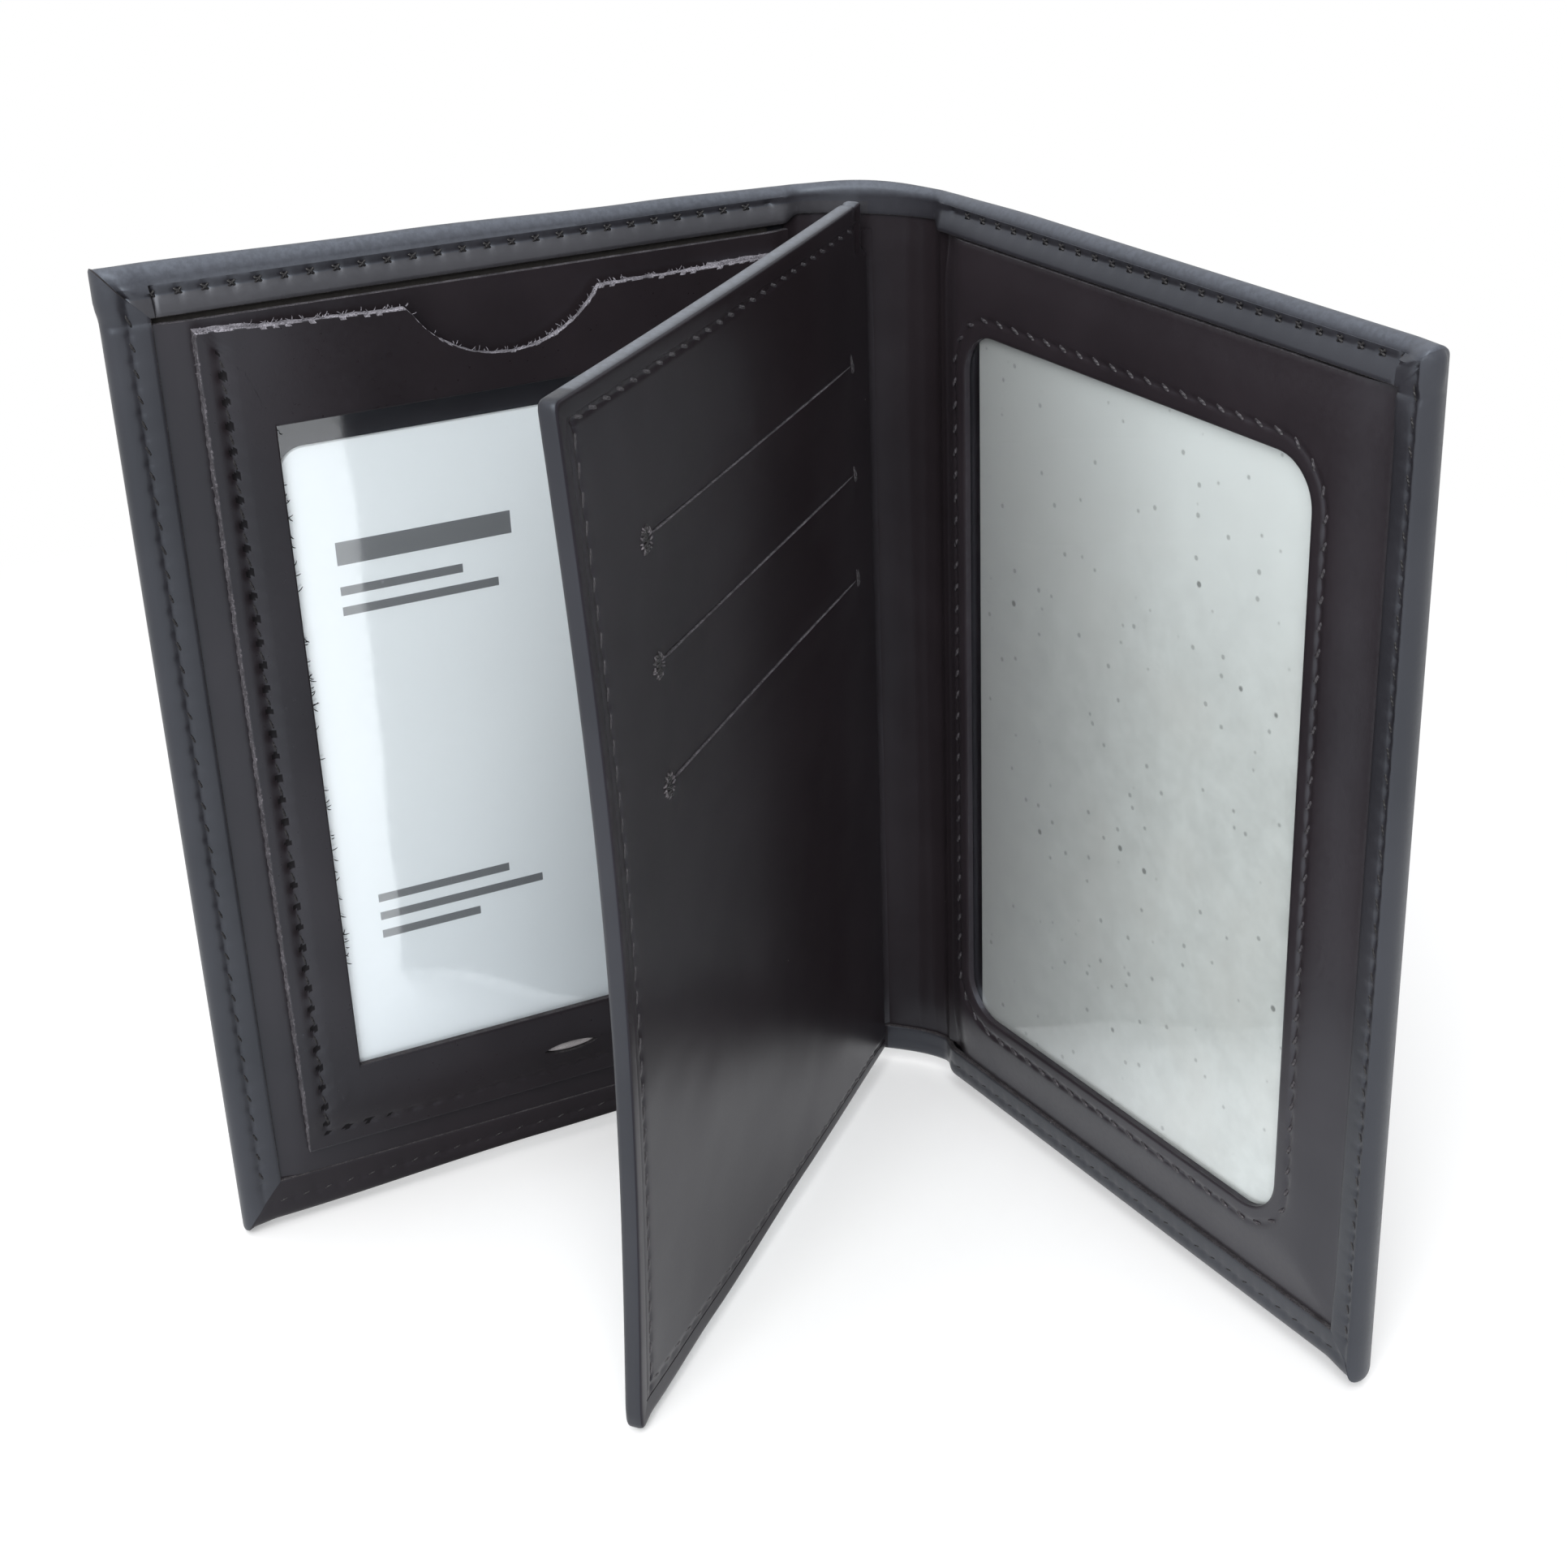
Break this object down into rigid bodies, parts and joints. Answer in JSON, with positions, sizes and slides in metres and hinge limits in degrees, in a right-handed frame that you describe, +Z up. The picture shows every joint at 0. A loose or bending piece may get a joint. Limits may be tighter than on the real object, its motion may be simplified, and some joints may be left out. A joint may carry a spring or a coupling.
{
  "type": "id badge wallet",
  "caption": "Folding leather identity wallet with a card window pocket, a middle leaf of card slits and a second windowed cover.",
  "frame": {"origin": "bottom centre of the bounding box of the wallet standing open, on the surface it stands on", "axes": "+Z up along the folds, X along the spine's width, the wallet opens towards -Y"},
  "size_m": [0.1456, 0.0836, 0.125],
  "materials": {
    "outer_leather": "smooth semi-gloss calf leather",
    "lining_leather": "smooth glossy leather",
    "panel_leather": "smooth leather with raw cut edges",
    "leaf_leather": "smooth leather with rolled edges",
    "board": "bonded fibre stiffener",
    "film": "clear flexible film",
    "card": "white laminated card",
    "insert": "pale sheet",
    "thread": "black waxed thread",
    "pocket_cloth": "black lining cloth"
  },
  "bodies": {
    "spine": {"spine_outer": "outer_leather", "spine_lining": "lining_leather", "leaf_hinge_strip": "lining_leather"},
    "left_cover": {"left_cover_outer": "outer_leather", "left_board": "board", "left_lining": "lining_leather", "left_pocket_panel": "panel_leather", "left_window_film": "film", "left_hem_thread": "thread", "left_pocket_thread": "thread"},
    "right_cover": {"right_cover_outer": "outer_leather", "right_board": "board", "right_lining": "lining_leather", "right_window_panel": "panel_leather", "right_window_film": "film", "right_hem_thread": "thread", "right_window_thread": "thread"},
    "middle_leaf": {"leaf_wrap": "leaf_leather", "leaf_front_panel": "leaf_leather", "leaf_liner_top": "pocket_cloth", "leaf_liner_middle": "pocket_cloth", "leaf_liner_bottom": "pocket_cloth", "leaf_edge_thread": "thread", "leaf_slit_tacks": "thread"},
    "card": {"id_card": "card"},
    "insert": {"right_insert": "insert"}
  },
  "joints": [
    {"name": "left_cover_fold", "type": "hinge", "parent": "spine", "child": "left_cover", "pos_m": [-0.0087, 0.04127, 0.0625], "axis": [0, 0, 1], "range_deg": [-41.2, 48.8]},
    {"name": "right_cover_fold", "type": "hinge", "parent": "spine", "child": "right_cover", "pos_m": [0.0087, 0.04127, 0.0625], "axis": [0, 0, -1], "range_deg": [-41.2, 48.8]},
    {"name": "leaf_turn", "type": "hinge", "parent": "spine", "child": "middle_leaf", "pos_m": [-0.00151, 0.03797, 0.0625], "axis": [0, 0, 1], "range_deg": [-4.74, 5.61]},
    {"name": "id_card_slide", "type": "slide", "parent": "left_cover", "child": "card", "axis": [0, 0, 1], "range_m": [0, 0.11]},
    {"name": "insert_slide", "type": "slide", "parent": "right_cover", "child": "insert", "axis": [0, 0, 1], "range_m": [0, 0.116]}
  ],
  "couplings": [
    {"joint": "leaf_turn", "follows": "left_cover_fold", "ratio": 0.11475}
  ]
}
